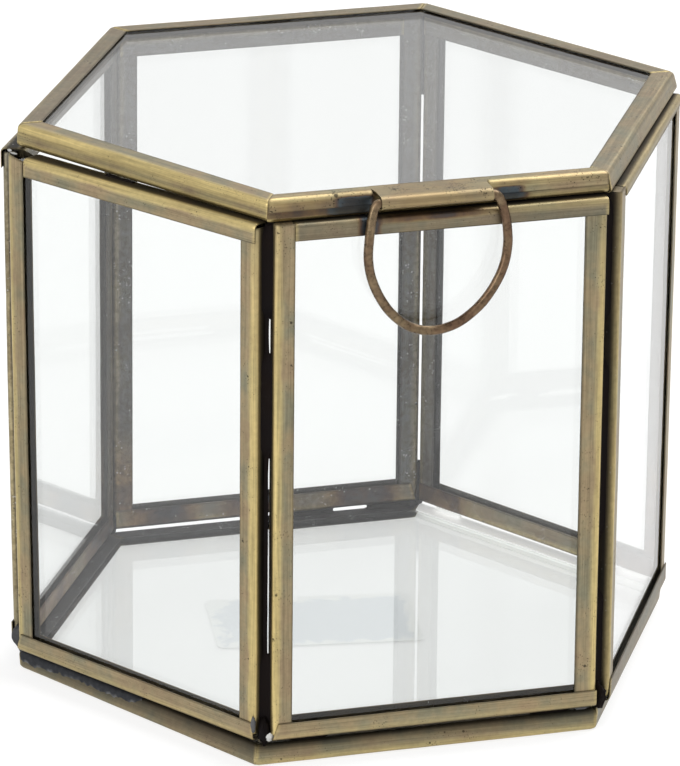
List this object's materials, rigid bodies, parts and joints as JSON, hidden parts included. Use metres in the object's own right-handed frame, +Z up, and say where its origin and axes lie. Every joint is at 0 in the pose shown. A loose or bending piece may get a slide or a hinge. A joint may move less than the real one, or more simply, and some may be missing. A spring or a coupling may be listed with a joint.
{
  "type": "glass casket box",
  "caption": "Hexagonal clear glass casket with antique brass edging, a lid hinged at the back and a hanging wire ring handle at the front, for papers and keepsakes.",
  "frame": {"origin": "middle of the underside, on the surface the box stands on", "axes": "+Z up, the handle side towards -Y, the hinge at +Y, two corners of the hexagon on the X axis"},
  "size_m": [0.1362, 0.1252, 0.1132],
  "materials": {
    "clear_glass": "clear float glass, 3 mm, faintly cool, with fine dust and hair scratches",
    "antique_brass": "brushed antique brass sheet with an olive brown patina, lighter gold along the bends and heat tints near the solder",
    "copper_wire": "drawn brass wire with a warm copper brown patina",
    "dark_solder": "tin solder blackened blue grey, bright silver where it is bare",
    "label_paper": "blank silver white sticker, satin"
  },
  "bodies": {
    "box": {"front_wall_glass": "clear_glass", "front_wall_left_strip": "antique_brass", "front_wall_right_strip": "antique_brass", "front_wall_top_strip": "antique_brass", "front_wall_bottom_strip": "antique_brass", "front_right_wall_glass": "clear_glass", "front_right_wall_left_strip": "antique_brass", "front_right_wall_right_strip": "antique_brass", "front_right_wall_top_strip": "antique_brass", "front_right_wall_bottom_strip": "antique_brass", "back_right_wall_glass": "clear_glass", "back_right_wall_left_strip": "antique_brass", "back_right_wall_right_strip": "antique_brass", "back_right_wall_top_strip": "antique_brass", "back_right_wall_bottom_strip": "antique_brass", "back_wall_glass": "clear_glass", "back_wall_left_strip": "antique_brass", "back_wall_right_strip": "antique_brass", "back_wall_top_strip": "antique_brass", "back_wall_bottom_strip": "antique_brass", "back_left_wall_glass": "clear_glass", "back_left_wall_left_strip": "antique_brass", "back_left_wall_right_strip": "antique_brass", "back_left_wall_top_strip": "antique_brass", "back_left_wall_bottom_strip": "antique_brass", "front_left_wall_glass": "clear_glass", "front_left_wall_left_strip": "antique_brass", "front_left_wall_right_strip": "antique_brass", "front_left_wall_top_strip": "antique_brass", "front_left_wall_bottom_strip": "antique_brass", "base_front_strip": "antique_brass", "base_front_right_strip": "antique_brass", "base_back_right_strip": "antique_brass", "base_back_strip": "antique_brass", "base_back_left_strip": "antique_brass", "base_front_left_strip": "antique_brass", "base_glass": "clear_glass", "base_label": "label_paper", "base_solder": "dark_solder", "seam_solder": "dark_solder", "hinge_left_strap": "antique_brass", "hinge_right_strap": "antique_brass", "hinge_pin": "copper_wire"},
    "lid": {"lid_front_strip": "antique_brass", "lid_front_right_strip": "antique_brass", "lid_back_right_strip": "antique_brass", "lid_back_strip": "antique_brass", "lid_back_left_strip": "antique_brass", "lid_front_left_strip": "antique_brass", "lid_glass": "clear_glass", "handle_strip": "antique_brass", "hinge_lid_strap": "antique_brass"},
    "ring": {"handle_ring": "copper_wire"}
  },
  "joints": [
    {"name": "lid_hinge", "type": "hinge", "parent": "box", "child": "lid", "pos_m": [0, 0.0613, 0.1089], "axis": [-1, 0, 0], "range_deg": [0, 215]},
    {"name": "handle_swing", "type": "hinge", "parent": "lid", "child": "ring", "pos_m": [-0.0017, -0.0613, 0.11194], "axis": [-1, 0, 0], "range_deg": [0, 238]}
  ]
}
